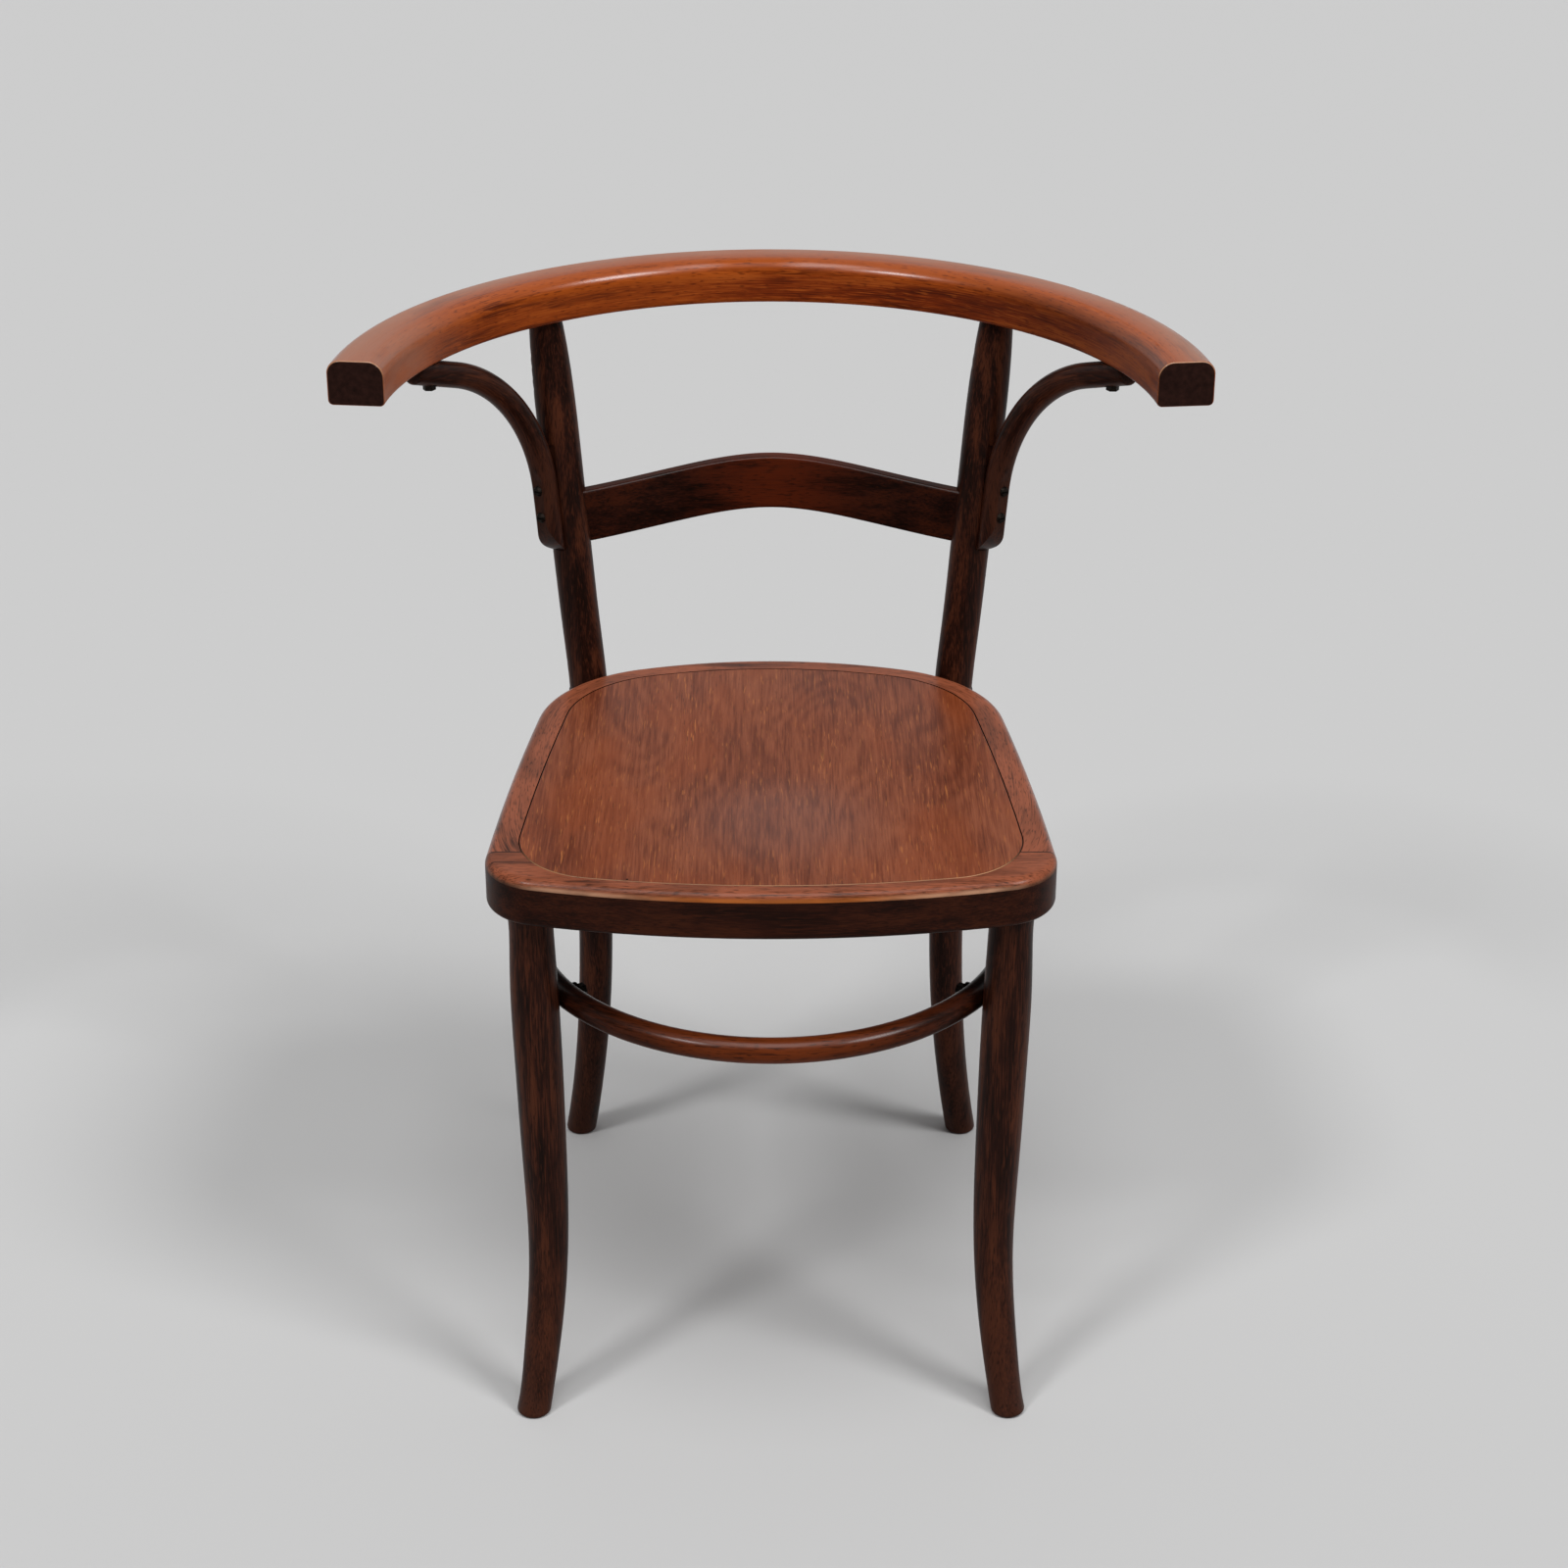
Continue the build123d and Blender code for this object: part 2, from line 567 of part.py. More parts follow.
nut_face = post_bolt_inside - washer_thickness
bolt_end = nut_face - post_nut_height - bolt_past_nut
with BuildPart() as post_seat_bolts:
    rods(post_bolt_planes, bolt_end, post_bolt_diameter, post_bolt_outside - bolt_end)
    rods(post_bolt_planes, post_bolt_outside, post_bolt_head, post_bolt_head_height)

with BuildPart() as post_seat_washers:
    rods(post_bolt_planes, nut_face, post_washer, washer_thickness)
    rods(post_bolt_planes, nut_face, post_bolt_diameter + 2 * fit, washer_thickness, Mode.SUBTRACT)

with BuildPart() as post_seat_nuts:
    with BuildSketch(*[plane.offset(nut_face) for plane in post_bolt_planes]):
        RegularPolygon(post_nut / 2, 6, major_radius=False)
        Circle(post_bolt_diameter / 2 + fit, mode=Mode.SUBTRACT)
    extrude(amount=-post_nut_height)

with BuildPart() as panel_pin:
    rods(pin_places, 0, pin_diameter, pin_length)

pieces = {
    "arm_rail": arm_rail,
    "back_post_left": make_back_post(-1),
    "back_post_right": make_back_post(1),
    "back_splat": back_splat,
    "arm_bracket_left": make_bracket(-1),
    "arm_bracket_right": make_bracket(1),
    "seat_hoop": make_seat_frame(Keep.TOP),
    "seat_front_rail": make_seat_frame(Keep.BOTTOM),
    "seat_panel": seat_panel,
    "front_leg_left": make_front_leg(-1),
    "front_leg_right": make_front_leg(1),
    "stretcher_hoop": stretcher_hoop,
    "seat_frame_dowels": seat_frame_dowels,
    "bracket_rail_bolts": bracket_rail_bolts,
    "bracket_post_screws": bracket_post_screws,
    "hoop_bolts": hoop_bolts,
    "hoop_washers": hoop_washers,
    "post_seat_bolts": post_seat_bolts,
    "post_seat_washers": post_seat_washers,
    "post_seat_nuts": post_seat_nuts,
    "panel_pin": panel_pin,
}
for name, piece in pieces.items():
    piece.part.label = name
    export_step(piece.part, f"parts/{name}.step")
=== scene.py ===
"""A bentwood cafe armchair of stained beech under soft studio light, from its photograph's point of view.

Sizes are in metres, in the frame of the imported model: +Z up, front towards -Y, floor at Z 0.
"""
from math import pi, radians

import bmesh
import bpy
from mathutils import Matrix, Vector


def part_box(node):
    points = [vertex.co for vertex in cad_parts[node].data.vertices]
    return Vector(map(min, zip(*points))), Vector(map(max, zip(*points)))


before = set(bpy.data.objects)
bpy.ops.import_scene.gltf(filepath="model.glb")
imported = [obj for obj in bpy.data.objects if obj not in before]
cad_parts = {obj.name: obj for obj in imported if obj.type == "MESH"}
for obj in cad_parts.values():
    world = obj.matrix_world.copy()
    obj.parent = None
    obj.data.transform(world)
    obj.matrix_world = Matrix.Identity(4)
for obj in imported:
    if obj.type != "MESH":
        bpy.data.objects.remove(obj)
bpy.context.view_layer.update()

# Places of the chair that its finish follows. A pair is where a change begins and where it is complete.
rail_low, rail_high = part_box("arm_rail")
rail_width = 0.042
rail_radius = 0.301                          # to the middle of the rail
rail_centre = (0, rail_high[1] - rail_radius - rail_width / 2, 0)
rail_left_lit_half = (0.0, -0.1)                 # along the rail, where its left half is painted paler down to its lower edge: painted light
rail_leant_on = -0.015                       # middle of the stretch that backs have rubbed, along the rail
rail_shellac_back = (0.015, 0.05)            # to each side of that middle, where the shellac comes back
rail_outer_top = (rail_radius - 0.008, rail_radius + 0.01)      # reach of the grey on the level top: partly greyed shellac, partly painted reflection of the pale wall
rail_inner_face = (rail_radius - 0.013, rail_radius - 0.019)    # reach of the upright inner face
arm_depth = (0.12, 0.02)                     # where hands have dulled the arms and a painted sheen lies on them
arm_left_lit = (0.1, -0.1)                       # from the right arm, little dulled, to the left one, dulled more as painted light
arm_right_shade = (0.13, 0.21)                     # where the right arm's inner face has painted shade
arm_end_depth = (0.02, 0.0)                  # in front of which a face is an arm's cut end
seat_rear_low, seat_rear_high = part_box("seat_hoop")
seat_front_low, seat_front_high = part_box("seat_front_rail")
seat_centre = (0, (seat_front_low[1] + seat_rear_high[1]) / 2, 0)
seat_bend = 0.19                             # usual distance of the bent seat frame from that centre
seat_joint = seat_rear_low[1]                # line where the front rail meets the bent hoop
seat_joint_line = (0.0009, 0.0003)           # distance from the joint at which its dark line shows
sitting_place = (0.01, seat_centre[1] - 0.09, seat_front_high[2])    # middle of the patch polished by sitting
sitting_shine = (0.1, 0.02)                  # distance from that middle
front_sides_highlight = (0.05, 0.13)                   # along the front edge, from its middle: where the pale side tone, partly painted highlight, grows
front_corners = (0.185, 0.155)               # along the front edge, from its corners
hoop_low, hoop_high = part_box("stretcher_hoop")
hoop_centre = (0, (hoop_low[1] + hoop_high[1]) / 2, 0)
hoop_radius = (hoop_high[1] - hoop_low[1]) / 2
hoop_wear = (0.17, 0.0)                      # along the hoop, to its front
splat_wear = (0.09, 0.0)                     # along the splat, to its middle
feet_wear = (0.2, -0.05)                     # heights
bracket_centre = (0.2479, 0.0611, 0.6198)    # centre of the right bracket's bend
bracket_turn = radians(52.9)                 # its plane, round the vertical
bracket_bend = 0.115


def linear(code):
    """Linear colour of an sRGB hex value."""
    shares = [int(code[place:place + 2], 16) / 255 for place in (1, 3, 5)]
    return [share / 12.92 if share <= 0.04045 else ((share + 0.055) / 1.055) ** 2.4 for share in shares] + [1]


def add(tree, kind, inputs=(), **settings):
    """Adds a shader node with its settings; inputs gives each socket a value, or the node or output that feeds it."""
    node = tree.nodes.new("ShaderNode" + kind)
    for name, value in settings.items():
        setattr(node, name, value)
    for socket, value in dict(inputs).items():
        if isinstance(value, bpy.types.Node):
            value = next(output for output in value.outputs if output.enabled)
        if isinstance(value, bpy.types.NodeSocket):
            tree.links.new(value, node.inputs[socket])
        else:
            node.inputs[socket].default_value = value
    return node


def new_finish(name):
    """An empty material."""
    finish = bpy.data.materials.new(name)
    finish.use_nodes = True
    finish.node_tree.nodes.clear()
    return finish


def straight_timber(tree, turn=(0, 0, 0)):
    """Timber coordinates of a straight piece: turned so that X runs along the grain."""
    place = add(tree, "TexCoord").outputs["Object"]
    return add(tree, "Mapping", {"Vector": place, "Rotation": turn})


def bent_timber(tree, place, radius, forward, doublings=1):
    """Timber coordinates of a piece bent round a centre: along the bend from forward, outwards, and across.

    forward is 1 where the bend's middle lies towards +Y, and -1 where it lies towards -Y. doublings is 1 for a
    round bend, and 2 for one that is nearer to a square with round corners.
    """
    split = add(tree, "SeparateXYZ", {0: place})
    ahead = add(tree, "Math", {0: split.outputs["Y"], 1: forward}, operation="MULTIPLY")
    angle = add(tree, "Math", {0: split.outputs["X"], 1: ahead}, operation="ARCTAN2")
    along = add(tree, "Math", {0: angle, 1: radius}, operation="MULTIPLY")
    powers = place
    for _ in range(doublings):
        powers = add(tree, "VectorMath", {0: powers, 1: powers}, operation="MULTIPLY")
    total = add(tree, "VectorMath", {0: powers, 1: (1, 1, 0)}, operation="DOT_PRODUCT").outputs["Value"]
    reach = add(tree, "Math", {0: total, 1: 0.5 ** doublings}, operation="POWER")
    return add(tree, "CombineXYZ", {0: along, 1: reach, 2: split.outputs["Z"]})


def about(tree, centre):
    """Object coordinates from a centre."""
    place = add(tree, "TexCoord").outputs["Object"]
    return add(tree, "VectorMath", {0: place, 1: centre}, operation="SUBTRACT")


def bracket_timber(tree):
    """Timber coordinates of both brackets, mirrored to one side, bent in their upright planes."""
    place = add(tree, "TexCoord").outputs["Object"]
    mirrored = add(tree, "VectorMath", {0: place}, operation="ABSOLUTE")
    moved = add(tree, "VectorMath", {0: mirrored, 1: bracket_centre}, operation="SUBTRACT")
    turned = add(tree, "Mapping", {"Vector": moved, "Rotation": (0, 0, bracket_turn)})
    split = add(tree, "SeparateXYZ", {0: turned})
    upright = add(tree, "CombineXYZ", {0: split.outputs["X"], 1: split.outputs["Z"], 2: split.outputs["Y"]})
    return bent_timber(tree, upright, bracket_bend, forward=1)


def streaks(tree, timber, long, wide, detail):
    """Soft streaks along the timber, with their usual length and width in millimetres."""
    drawn = add(tree, "VectorMath", {0: timber, 1: (1000 / long, 1000 / wide, 1000 / wide)}, operation="MULTIPLY")
    return add(tree, "TexNoise", {"Vector": drawn, "Scale": 1.0, "Detail": detail})


def looking_up(tree, start, end):
    """Grows from 0 to 1 between two values of the normal's upward part, 0 on upright faces and 1 on level ones."""
    normal = add(tree, "NewGeometry").outputs["Normal"]
    rise = add(tree, "SeparateXYZ", {0: normal}).outputs["Z"]
    return add(tree, "MapRange", {"Value": rise, "From Min": start, "From Max": end}, interpolation_type="SMOOTHSTEP")


def rounded_edges(tree):
    """1 on the rounding between level and upright faces."""
    return add(tree, "Math", {0: looking_up(tree, 0.15, 0.5), 1: looking_up(tree, 1.0, 0.85)}, operation="MULTIPLY")


def stained_beech(name, timber_of, tones, rubbed_of, trim_of=None, shellac=0.3):
    """Steam-bent beech under an old dark stain and worn shellac.

    The eye sees short soft streaks along the grain, fine fibres, tiny dark and pale flecks, cloudy stain, and
    paler, redder wood where hands, backs and shoes have rubbed it; on the rail and seat frame that paler tone also
    carries painted light and shade. Shellac shines most on the rounded edges.
    Real fibres and flecks are a tenth of a millimetre wide: they are drawn about 1 mm wide, to show in the render.
    tones are the deep, middle, pale and worn colours; trim_of changes what only one piece has.
    """
    finish = new_finish(name)
    tree = finish.node_tree
    timber = timber_of(tree)
    deep, middle, pale, worn = tones
    grain = streaks(tree, timber, long=110, wide=5, detail=3.0)
    cloud = streaks(tree, timber, long=80, wide=16, detail=2.0)
    fibre = streaks(tree, timber, long=30, wide=0.9, detail=2.0)
    figure = add(tree, "Mix", {"Factor": 0.55, "A": grain, "B": cloud})
    figure = add(tree, "Mix", {"Factor": 0.3, "A": figure, "B": fibre})
    spread = add(tree, "MapRange", {"Value": figure, "From Min": 0.36, "From Max": 0.64},
                 interpolation_type="SMOOTHSTEP")
    stain = add(tree, "ValToRGB", {"Fac": spread})
    stain.color_ramp.elements.new(0.5)
    for stop, tone in zip(stain.color_ramp.elements, (deep, middle, pale)):
        stop.color = linear(tone)
    patches = add(tree, "MapRange", {"Value": figure, "From Min": 0.3, "From Max": 0.53},
                  interpolation_type="SMOOTHSTEP")
    # on the rail and seat frame this rubbed tone also carries painted light and shade
    rubbed = add(tree, "Math", {0: rubbed_of(tree, timber), 1: patches}, operation="MULTIPLY")
    colour = add(tree, "Mix", {"Factor": rubbed, "A": stain, "B": linear(worn)}, data_type="RGBA")
    for long, strength, tone in ((7, 0.6, deep), (14, 0.5, pale)):
        rays = streaks(tree, timber, long, wide=1.0, detail=0.0)
        flecks = add(tree, "MapRange", {"Value": rays, "From Min": 0.62, "From Max": 0.76, "To Max": strength})
        colour = add(tree, "Mix", {"Factor": flecks, "A": colour, "B": linear(tone)}, data_type="RGBA")
    rough = add(tree, "MapRange", {"Value": figure, "From Min": 0.35, "From Max": 0.65,
                                   "To Min": 0.28, "To Max": 0.44})
    coat = add(tree, "Math", {0: rounded_edges(tree), 1: shellac}, operation="MULTIPLY")
    bump = add(tree, "Bump", {"Height": fibre, "Strength": 0.2, "Distance": 0.0002})
    surface = {"Base Color": colour, "Roughness": rough, "Normal": bump, "Specular IOR Level": 0.06,
               "Coat Weight": coat, "Coat Roughness": 0.24}
    if trim_of:
        trim_of(tree, timber, surface)
    add(tree, "OutputMaterial", {"Surface": add(tree, "BsdfPrincipled", surface)})
    return finish


def rubbed_by_height(tree, start, end):
    """Wear that grows from one height to another."""
    place = add(tree, "TexCoord").outputs["Object"]
    height = add(tree, "SeparateXYZ", {0: place}).outputs["Z"]
    return add(tree, "MapRange", {"Value": height, "From Min": start, "From Max": end},
               interpolation_type="SMOOTHSTEP")


def rubbed_to_middle(tree, timber, start, end):
    """Wear that grows along a piece, from one distance to its middle to another."""
    along = add(tree, "SeparateXYZ", {0: timber}).outputs["X"]
    distance = add(tree, "Math", {0: along}, operation="ABSOLUTE")
    return add(tree, "MapRange", {"Value": distance, "From Min": start, "From Max": end},
               interpolation_type="SMOOTHSTEP")


def rail_rubbed_and_lit(tree, timber):
    """Hands and backs have rubbed the top of the rail; its left half is painted paler down to the lower edge, painted
    light as from the stronger right lamp.
    """
    upper = rubbed_by_height(tree, (rail_low[2] + rail_high[2]) / 2, rail_high[2])
    along = add(tree, "SeparateXYZ", {0: timber}).outputs["X"]
    # painted light: the left half of the rail takes half of the paler rubbed tone at every height
    left = add(tree, "MapRange", {"Value": along, "From Min": rail_left_lit_half[0], "From Max": rail_left_lit_half[1],
                                  "To Max": 0.5}, interpolation_type="SMOOTHSTEP")
    return add(tree, "Math", {0: upper, 1: left}, operation="ADD", use_clamp=True)


def feet_rubbed(tree, timber):
    """Shoes and brooms have rubbed the feet."""
    return rubbed_by_height(tree, *feet_wear)


def hoop_rubbed(tree, timber):
    """Shoes have rubbed the front of the hoop."""
    return rubbed_to_middle(tree, timber, *hoop_wear)


def splat_rubbed(tree, timber):
    """Backs have rubbed the middle of the splat."""
    return rubbed_to_middle(tree, timber, *splat_wear)


def frame_rubbed_and_lit(tree, timber):
    """The seat frame's top and rounded edge take the paler rubbed tone in patches, partly real wear and partly
    painted light from above; its upright faces stay dark, partly dark stain and partly painted shade.
    """
    cloud = streaks(tree, timber, long=90, wide=22, detail=2.0)
    patches = add(tree, "MapRange", {"Value": cloud, "From Min": 0.36, "From Max": 0.54, "To Min": 0.6},
                  interpolation_type="SMOOTHSTEP")
    # only faces that look up take the paler tone: partly wear, partly painted light from above
    return add(tree, "Math", {0: looking_up(tree, 0.0, 0.6), 1: patches}, operation="MULTIPLY")


def lightly_rubbed(tree, timber):
    """Wear in a few soft patches."""
    cloud = streaks(tree, timber, long=120, wide=30, detail=1.0)
    return add(tree, "MapRange", {"Value": cloud, "From Min": 0.48, "From Max": 0.7}, interpolation_type="SMOOTHSTEP")


def rail_shine(tree, timber, surface):
    """Shellac rubbed off where backs lean against the middle of the rail, and thin on its level top, whose outer part
    is painted grey: partly greyed shellac, partly painted reflection of the pale wall.
    """
    bend = add(tree, "SeparateXYZ", {0: timber})
    aside = add(tree, "Math", {0: bend.outputs["X"], 1: rail_leant_on}, operation="SUBTRACT")
    aside = add(tree, "Math", {0: aside}, operation="ABSOLUTE")
    left_on = add(tree, "MapRange", {"Value": aside, "From Min": rail_shellac_back[0],
                                     "From Max": rail_shellac_back[1], "To Min": 0.15},
                  interpolation_type="SMOOTHSTEP")
    coat = add(tree, "Math", {0: surface["Coat Weight"], 1: left_on}, operation="MULTIPLY")
    level = looking_up(tree, 0.85, 0.98)
    top_shellac = 0.6
    surface["Coat Weight"] = add(tree, "Math", {0: level, 1: top_shellac, 2: coat}, operation="MULTIPLY_ADD")
    mottle = add(tree, "MapRange", {"Value": streaks(tree, timber, long=60, wide=14, detail=3.0),
                                    "From Min": 0.3, "From Max": 0.6, "To Min": 0.5, "To Max": 0.8})
    # painted reflection, partly greyed shellac: the outer level top mixed towards grey-pink
    outer = add(tree, "MapRange", {"Value": bend.outputs["Y"], "From Min": rail_outer_top[0],
                                   "From Max": rail_outer_top[1]})
    grey = add(tree, "Math", {0: level, 1: mottle}, operation="MULTIPLY")
    grey = add(tree, "Math", {0: grey, 1: outer}, operation="MULTIPLY")
    surface["Base Color"] = add(tree, "Mix", {"Factor": grey, "A": surface["Base Color"], "B": linear("#a87c68")},
                                data_type="RGBA")


def arm_wear_and_painted_light(tree, timber, surface):
    """Arms dulled by hands under a painted grey-pink sheen, the left one more as painted light, and painted shade on
    the right arm's inner face.
    """
    place = add(tree, "SeparateXYZ", {0: add(tree, "TexCoord").outputs["Object"]})
    reach = add(tree, "SeparateXYZ", {0: timber}).outputs["Y"]
    # painted shade: the right arm's inner face mixed towards dark brown
    right = add(tree, "MapRange", {"Value": place.outputs["X"], "From Min": arm_right_shade[0], "From Max": arm_right_shade[1],
                                   "To Max": 0.45})
    inner = add(tree, "MapRange", {"Value": reach, "From Min": rail_inner_face[0], "From Max": rail_inner_face[1]})
    dark = add(tree, "Math", {0: right, 1: inner}, operation="MULTIPLY")
    with_painted_shade = add(tree, "Mix", {"Factor": dark, "A": surface["Base Color"], "B": linear("#341a10")},
                  data_type="RGBA")
    # hand wear and painted sheen: the arms mixed towards pale grey-pink, more on the left arm as painted light
    arms = add(tree, "MapRange", {"Value": place.outputs["Y"], "From Min": arm_depth[0], "From Max": arm_depth[1]},
               interpolation_type="SMOOTHSTEP")
    side = add(tree, "MapRange", {"Value": place.outputs["X"], "From Min": arm_left_lit[0], "From Max": arm_left_lit[1],
                                  "To Min": 0.1, "To Max": 0.75})
    mottle = add(tree, "MapRange", {"Value": streaks(tree, timber, long=40, wide=12, detail=3.0),
                                    "From Min": 0.3, "From Max": 0.6, "To Min": 0.6})
    dull_and_sheen = add(tree, "Math", {0: arms, 1: side}, operation="MULTIPLY")
    dull_and_sheen = add(tree, "Math", {0: dull_and_sheen, 1: mottle}, operation="MULTIPLY")
    surface["Base Color"] = add(tree, "Mix", {"Factor": dull_and_sheen, "A": with_painted_shade, "B": linear("#9f6850")},
                                data_type="RGBA")


def end_grain(tree, surface):
    """Bare end grain at the arms' cut ends: nearly black, with a rubbed pale line along its upper edge."""
    place = add(tree, "TexCoord").outputs["Object"]
    depth = add(tree, "SeparateXYZ", {0: place}).outputs["Y"]
    near = add(tree, "MapRange", {"Value": depth, "From Min": arm_end_depth[0], "From Max": arm_end_depth[1]})
    normal = add(tree, "SeparateXYZ", {0: add(tree, "NewGeometry").outputs["Normal"]})
    pores = streaks(tree, place, long=4, wide=4, detail=4.0)    # clusters: single pores are too fine to show
    grain = add(tree, "ValToRGB", {"Fac": pores})
    for stop, tone in zip(grain.color_ramp.elements, ("#080302", "#38201a")):
        stop.color = linear(tone)
    upper = add(tree, "MapRange", {"Value": normal.outputs["Z"], "From Min": -0.05, "From Max": 0.3})
    edge = add(tree, "MapRange", {"Value": normal.outputs["Y"], "From Min": -0.3, "From Max": -0.5})
    edge = add(tree, "Math", {0: edge, 1: upper}, operation="MULTIPLY")
    edge = add(tree, "Math", {0: edge, 1: near}, operation="MULTIPLY")
    face = add(tree, "MapRange", {"Value": normal.outputs["Y"], "From Min": -0.75, "From Max": -0.92})
    face = add(tree, "Math", {0: face, 1: near}, operation="MULTIPLY")
    worn = add(tree, "Mix", {"Factor": edge, "A": surface["Base Color"], "B": linear("#b07d5c")}, data_type="RGBA")
    surface["Base Color"] = add(tree, "Mix", {"Factor": face, "A": worn, "B": grain}, data_type="RGBA")
    surface["Roughness"] = add(tree, "Mix", {"Factor": face, "A": surface["Roughness"], "B": 0.85})
    surface["Coat Weight"] = add(tree, "MapRange", {"Value": face, "To Min": surface["Coat Weight"], "To Max": 0.0})


def rail_trim(tree, timber, surface):
    """What only the rail has: shellac worn by backs and a painted grey reflection on its level top, arms worn by
    hands with painted sheen and shade, and cut ends.
    """
    rail_shine(tree, timber, surface)
    arm_wear_and_painted_light(tree, timber, surface)
    end_grain(tree, surface)


def frame_joint(tree, timber, surface):
    """Thin shellac on the level top, and a dark open line where the front rail and the bent hoop meet."""
    top_shellac = 0.35
    surface["Coat Weight"] = add(
        tree, "Math", {0: looking_up(tree, 0.85, 1.0), 1: top_shellac, 2: surface["Coat Weight"]},
        operation="MULTIPLY_ADD")
    depth = add(tree, "SeparateXYZ", {0: about(tree, (0, seat_joint, 0))}).outputs["Y"]
    distance = add(tree, "Math", {0: depth}, operation="ABSOLUTE")
    line = add(tree, "MapRange", {"Value": distance, "From Min": seat_joint_line[0],
                                  "From Max": seat_joint_line[1]})
    surface["Base Color"] = add(tree, "Mix", {"Factor": line, "A": surface["Base Color"], "B": linear("#120805")},
                                data_type="RGBA")


def front_edge_wear_and_highlight(tree, timber, surface):
    """Front edge rubbed by legs, orange brown in the middle and pale at the sides, the pale partly rubbed wood and
    partly painted highlight, and the joint lines behind it.
    """
    edge = add(tree, "Math", {0: looking_up(tree, 0.02, 0.12), 1: looking_up(tree, 0.6, 0.25)}, operation="MULTIPLY")
    chips = add(tree, "MapRange", {"Value": streaks(tree, timber, long=40, wide=6, detail=3.0),
                                   "From Min": 0.35, "From Max": 0.6, "To Min": 0.45, "To Max": 0.9})
    edge = add(tree, "Math", {0: edge, 1: chips}, operation="MULTIPLY")
    across = add(tree, "Math", {0: add(tree, "SeparateXYZ", {0: timber}).outputs["X"]}, operation="ABSOLUTE")
    sides = add(tree, "MapRange", {"Value": across, "From Min": front_sides_highlight[0], "From Max": front_sides_highlight[1]},
                interpolation_type="SMOOTHSTEP")
    # pale side tone: partly rubbed wood, partly painted highlight of the lamps
    worn = add(tree, "Mix", {"Factor": sides, "A": linear("#b0622c"), "B": linear("#bd8d70")}, data_type="RGBA")
    corners = add(tree, "MapRange", {"Value": across, "From Min": front_corners[0], "From Max": front_corners[1],
                                     "To Min": 0.15})
    edge = add(tree, "Math", {0: edge, 1: corners}, operation="MULTIPLY")
    surface["Base Color"] = add(tree, "Mix", {"Factor": edge, "A": surface["Base Color"], "B": worn},
                                data_type="RGBA")
    frame_joint(tree, timber, surface)


dark_stain = ("#170b07", "#2d150e", "#4f2919", "#3e2116")
rail_stain = ("#4e1a06", "#80310b", "#b0561e", "#a04a15")
splat_stain = ("#110704", "#28110b", "#3d1a0d", "#531e0a")
hoop_stain = ("#0d0503", "#220d06", "#3a180b", "#652c10")
frame_stain = ("#1b0a05", "#2d1209", "#3d1c0e", "#925036")
upright_grain = (0, pi / 2, 0)
front_to_back_grain = (0, 0, pi / 2)

rail_beech = stained_beech(
    "stained_beech_rail", lambda tree: bent_timber(tree, about(tree, rail_centre), rail_radius, forward=1),
    rail_stain, rail_rubbed_and_lit, rail_trim, shellac=1.0)
leg_beech = stained_beech(
    "stained_beech_legs", lambda tree: straight_timber(tree, upright_grain), dark_stain, feet_rubbed)
splat_beech = stained_beech("stained_beech_splat", straight_timber, splat_stain, splat_rubbed)
bracket_beech = stained_beech("stained_beech_brackets", bracket_timber, dark_stain, lightly_rubbed)
hoop_beech = stained_beech(
    "stained_beech_hoop", lambda tree: bent_timber(tree, about(tree, hoop_centre), hoop_radius, forward=-1),
    hoop_stain, hoop_rubbed, shellac=0.4)
frame_bent_beech = stained_beech(
    "stained_beech_seat_hoop",
    lambda tree: bent_timber(tree, about(tree, seat_centre), seat_bend, forward=1, doublings=2),
    frame_stain, frame_rubbed_and_lit, frame_joint, shellac=0.6)
frame_front_beech = stained_beech(
    "stained_beech_seat_front", straight_timber, frame_stain, frame_rubbed_and_lit, front_edge_wear_and_highlight, shellac=0.25)


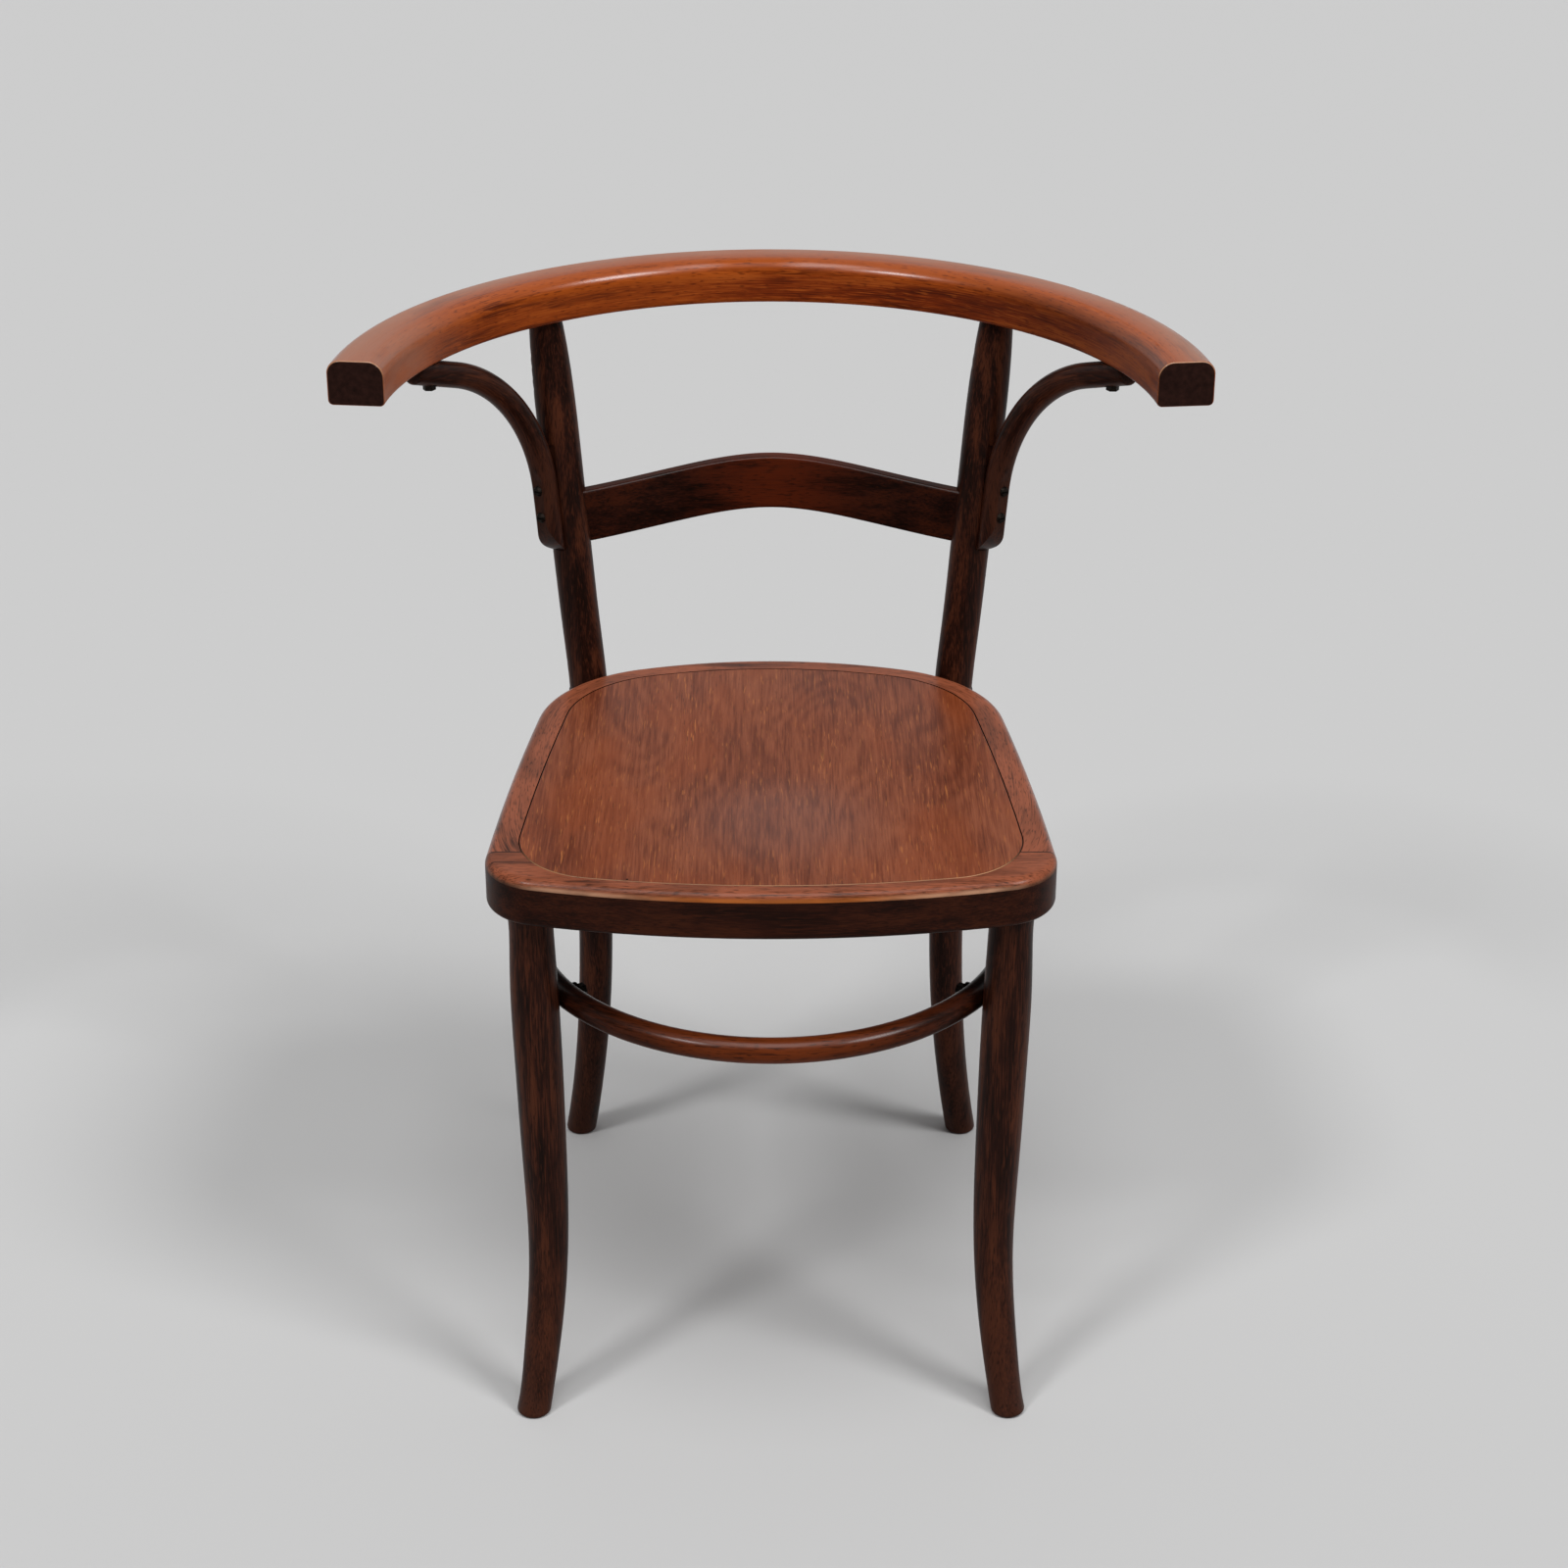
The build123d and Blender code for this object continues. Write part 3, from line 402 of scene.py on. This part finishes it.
def beech_plywood():
    """Rotary-cut beech plywood under worn stain.

    The eye sees wandering figure, fine fibres, short pale and dark flecks, a rim painted dark as painted shade in
    the groove round the panel and chipped pale along the front, and a soft shine where people sit. Fibres and flecks
    are drawn about 1 mm wide, coarser than they are, to show in the render.
    """
    finish = new_finish("stained_beech_plywood_panel")
    tree = finish.node_tree
    timber = straight_timber(tree, front_to_back_grain)
    ring_spread, ring_contrast = 90.0, 0.025     # how closely the cut crosses the year rings, and how they show
    hills = streaks(tree, timber, long=260, wide=90, detail=1.0)
    swell = add(tree, "Math", {0: hills, 1: ring_spread}, operation="MULTIPLY")
    rings = add(tree, "Math", {0: swell}, operation="SINE")
    fibre = streaks(tree, timber, long=30, wide=1.1, detail=3.0)
    bands = streaks(tree, timber, long=80, wide=3, detail=3.0)
    cloud = streaks(tree, timber, long=150, wide=60, detail=2.0)
    figure = add(tree, "Mix", {"Factor": 0.5, "A": cloud, "B": bands})
    figure = add(tree, "Mix", {"Factor": 0.4, "A": figure, "B": fibre})
    figure = add(tree, "Math", {0: rings, 1: ring_contrast, 2: figure}, operation="MULTIPLY_ADD")
    spread = add(tree, "MapRange", {"Value": figure, "From Min": 0.33, "From Max": 0.67},
                 interpolation_type="SMOOTHSTEP")
    stain = add(tree, "ValToRGB", {"Fac": spread})
    stain.color_ramp.elements.new(0.5)
    for stop, tone in zip(stain.color_ramp.elements, ("#582613", "#783d25", "#8c4e33")):
        stop.color = linear(tone)
    warm = add(tree, "MapRange", {"Value": streaks(tree, timber, long=130, wide=70, detail=2.0),
                                  "From Min": 0.48, "From Max": 0.66, "To Max": 0.4},
               interpolation_type="SMOOTHSTEP")
    colour = add(tree, "Mix", {"Factor": warm, "A": stain, "B": linear("#8a411d")}, data_type="RGBA")
    zones = add(tree, "MapRange", {"Value": streaks(tree, timber, long=90, wide=50, detail=1.0),
                                   "From Min": 0.35, "From Max": 0.65, "To Min": 0.3})
    for long, strength, tone in ((20, 0.7, "#b26c3a"), (14, 0.5, "#32140a")):
        flecks = add(tree, "MapRange", {"Value": streaks(tree, timber, long, wide=1.2, detail=1.0),
                                        "From Min": 0.64, "From Max": 0.72, "To Max": strength})
        flecks = add(tree, "Math", {0: flecks, 1: zones}, operation="MULTIPLY")
        colour = add(tree, "Mix", {"Factor": flecks, "A": colour, "B": linear(tone)}, data_type="RGBA")
    facing = add(tree, "SeparateXYZ", {0: add(tree, "NewGeometry").outputs["Normal"]}).outputs["Y"]
    chipped = add(tree, "MapRange", {"Value": facing, "From Min": -0.15, "From Max": -0.5})
    chipped = add(tree, "Math", {0: chipped, 1: zones}, operation="MULTIPLY")
    # the rim's near black is painted shade in the groove round the panel; its pale chips are wear
    rim = add(tree, "Mix", {"Factor": chipped, "A": linear("#150906"), "B": linear("#b98a62")}, data_type="RGBA")
    colour = add(tree, "Mix", {"Factor": rounded_edges(tree), "A": colour, "B": rim}, data_type="RGBA")
    rough = add(tree, "MapRange", {"Value": cloud, "From Min": 0.3, "From Max": 0.7, "To Min": 0.32, "To Max": 0.48})
    bump = add(tree, "Bump", {"Height": fibre, "Strength": 0.2, "Distance": 0.0002})
    distance = add(tree, "VectorMath", {0: about(tree, sitting_place)}, operation="LENGTH").outputs["Value"]
    sat_on = add(tree, "MapRange", {"Value": distance, "From Min": sitting_shine[0], "From Max": sitting_shine[1],
                                    "To Min": 0.15, "To Max": 1.0}, interpolation_type="SMOOTHSTEP")
    shader = add(tree, "BsdfPrincipled", {"Base Color": colour, "Roughness": rough, "Normal": bump,
                                          "Specular IOR Level": 0.2, "Coat Weight": sat_on, "Coat Roughness": 0.3})
    add(tree, "OutputMaterial", {"Surface": shader})
    return finish


def bare_beech():
    """Turned beech dowel with no stain: pale, with fine straight grain, drawn 1.2 mm wide to show."""
    finish = new_finish("bare_beech_dowels")
    tree = finish.node_tree
    timber = straight_timber(tree, front_to_back_grain)
    grain = add(tree, "ValToRGB", {"Fac": streaks(tree, timber, long=30, wide=1.2, detail=3.0)})
    for stop, tone in zip(grain.color_ramp.elements, ("#a97b4f", "#d3ab7d")):
        stop.color = linear(tone)
    shader = add(tree, "BsdfPrincipled", {"Base Color": grain, "Roughness": 0.6})
    add(tree, "OutputMaterial", {"Surface": shader})
    return finish


def blackened_steel():
    """Forged and blackened steel: near black, rubbed grey-brown in spots of about a millimetre."""
    finish = new_finish("blackened_steel")
    tree = finish.node_tree
    place = add(tree, "TexCoord").outputs["Object"]
    spots = streaks(tree, place, long=1.1, wide=1.1, detail=3.0)
    rubbed = add(tree, "MapRange", {"Value": spots, "From Min": 0.35, "From Max": 0.8})
    oxide = add(tree, "ValToRGB", {"Fac": rubbed})
    for stop, tone in zip(oxide.color_ramp.elements, ("#141211", "#3a322c")):
        stop.color = linear(tone)
    rough = add(tree, "MapRange", {"Value": spots, "To Min": 0.4, "To Max": 0.7})
    shader = add(tree, "BsdfPrincipled", {"Base Color": oxide, "Roughness": rough, "Metallic": 1.0})
    add(tree, "OutputMaterial", {"Surface": shader})
    return finish


steel = blackened_steel()                    # every node that isn't named below is a fastener
finishes = {
    "arm_rail": rail_beech,
    "back_post_left": leg_beech,
    "back_post_right": leg_beech,
    "front_leg_left": leg_beech,
    "front_leg_right": leg_beech,
    "back_splat": splat_beech,
    "arm_bracket_left": bracket_beech,
    "arm_bracket_right": bracket_beech,
    "stretcher_hoop": hoop_beech,
    "seat_hoop": frame_bent_beech,
    "seat_front_rail": frame_front_beech,
    "seat_panel": beech_plywood(),
    "seat_frame_dowels": bare_beech(),
}
for name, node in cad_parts.items():
    node.data.materials[0] = finishes.get(name, steel)


def make_floor():
    """Pale grey studio floor, far wider than the view."""
    mesh = bpy.data.meshes.new("floor")
    ground = bmesh.new()
    bmesh.ops.create_grid(ground, x_segments=1, y_segments=1, size=200)
    ground.to_mesh(mesh)
    ground.free()
    floor = bpy.data.objects.new("floor", mesh)
    bpy.context.scene.collection.objects.link(floor)
    finish = new_finish("matt_studio_floor")
    tree = finish.node_tree
    shader = add(tree, "BsdfPrincipled", {"Base Color": linear("#c6c6c6"), "Roughness": 0.9,
                                          "Specular IOR Level": 0.1})
    add(tree, "OutputMaterial", {"Surface": shader})
    mesh.materials.append(finish)


def add_lamp(name, place, spread, strength):
    """Soft lamp far away in the direction of place; spread is how wide it looks from the chair, in degrees."""
    lamp = bpy.data.lights.new(name, "SUN")
    lamp.angle = radians(spread)
    lamp.energy = strength
    holder = bpy.data.objects.new(name, lamp)
    bpy.context.scene.collection.objects.link(holder)
    holder.rotation_euler = (-Vector(place)).to_track_quat("-Z", "Y").to_euler()


def set_world():
    """Studio that lights the chair with a pale wall behind it and a dim room in front; the camera sees floor grey."""
    world = bpy.data.worlds.new("studio")
    world.use_nodes = True
    tree = world.node_tree
    way = add(tree, "TexCoord").outputs["Generated"]
    back = add(tree, "MapRange", {"Value": add(tree, "SeparateXYZ", {0: way}).outputs["Y"],
                                  "From Min": -0.3, "From Max": 0.6}, interpolation_type="SMOOTHSTEP")
    colour = add(tree, "Mix", {"Factor": back, "A": linear("#3a3a3a"), "B": linear("#a8a8a8")}, data_type="RGBA")
    seen = add(tree, "LightPath").outputs["Is Camera Ray"]
    colour = add(tree, "Mix", {"Factor": seen, "A": colour, "B": linear("#cdcdcd")}, data_type="RGBA")
    tree.links.new(colour.outputs["Result"], tree.nodes["Background"].inputs["Color"])
    bpy.context.scene.world = world


def set_camera(place, aside, down, roll):
    """Camera of the photograph, found from the chair's own shape: square frame, long lens; turns in degrees."""
    lens = bpy.data.cameras.new("camera")
    lens.lens = 72
    lens.sensor_width = 36
    lens.clip_end = 300
    camera = bpy.data.objects.new("camera", lens)
    bpy.context.scene.collection.objects.link(camera)
    turn = (Matrix.Rotation(radians(aside), 4, "Z") @ Matrix.Rotation(radians(90 - down), 4, "X")
            @ Matrix.Rotation(radians(roll), 4, "Z"))
    camera.matrix_world = Matrix.Translation(place) @ turn
    bpy.context.scene.camera = camera


make_floor()
add_lamp("lamp_top", place=(0, -0.3, 1), spread=36, strength=1.3)
add_lamp("lamp_left", place=(-1, -1, 1.5), spread=11, strength=0.85)
add_lamp("lamp_right", place=(1.3, -0.9, 1.6), spread=18, strength=1.35)
set_world()
set_camera(place=(-0.00139, -2.18014, 1.49482), aside=-0.30, down=26.02, roll=0.14)
bpy.context.scene.view_settings.view_transform = "Standard"
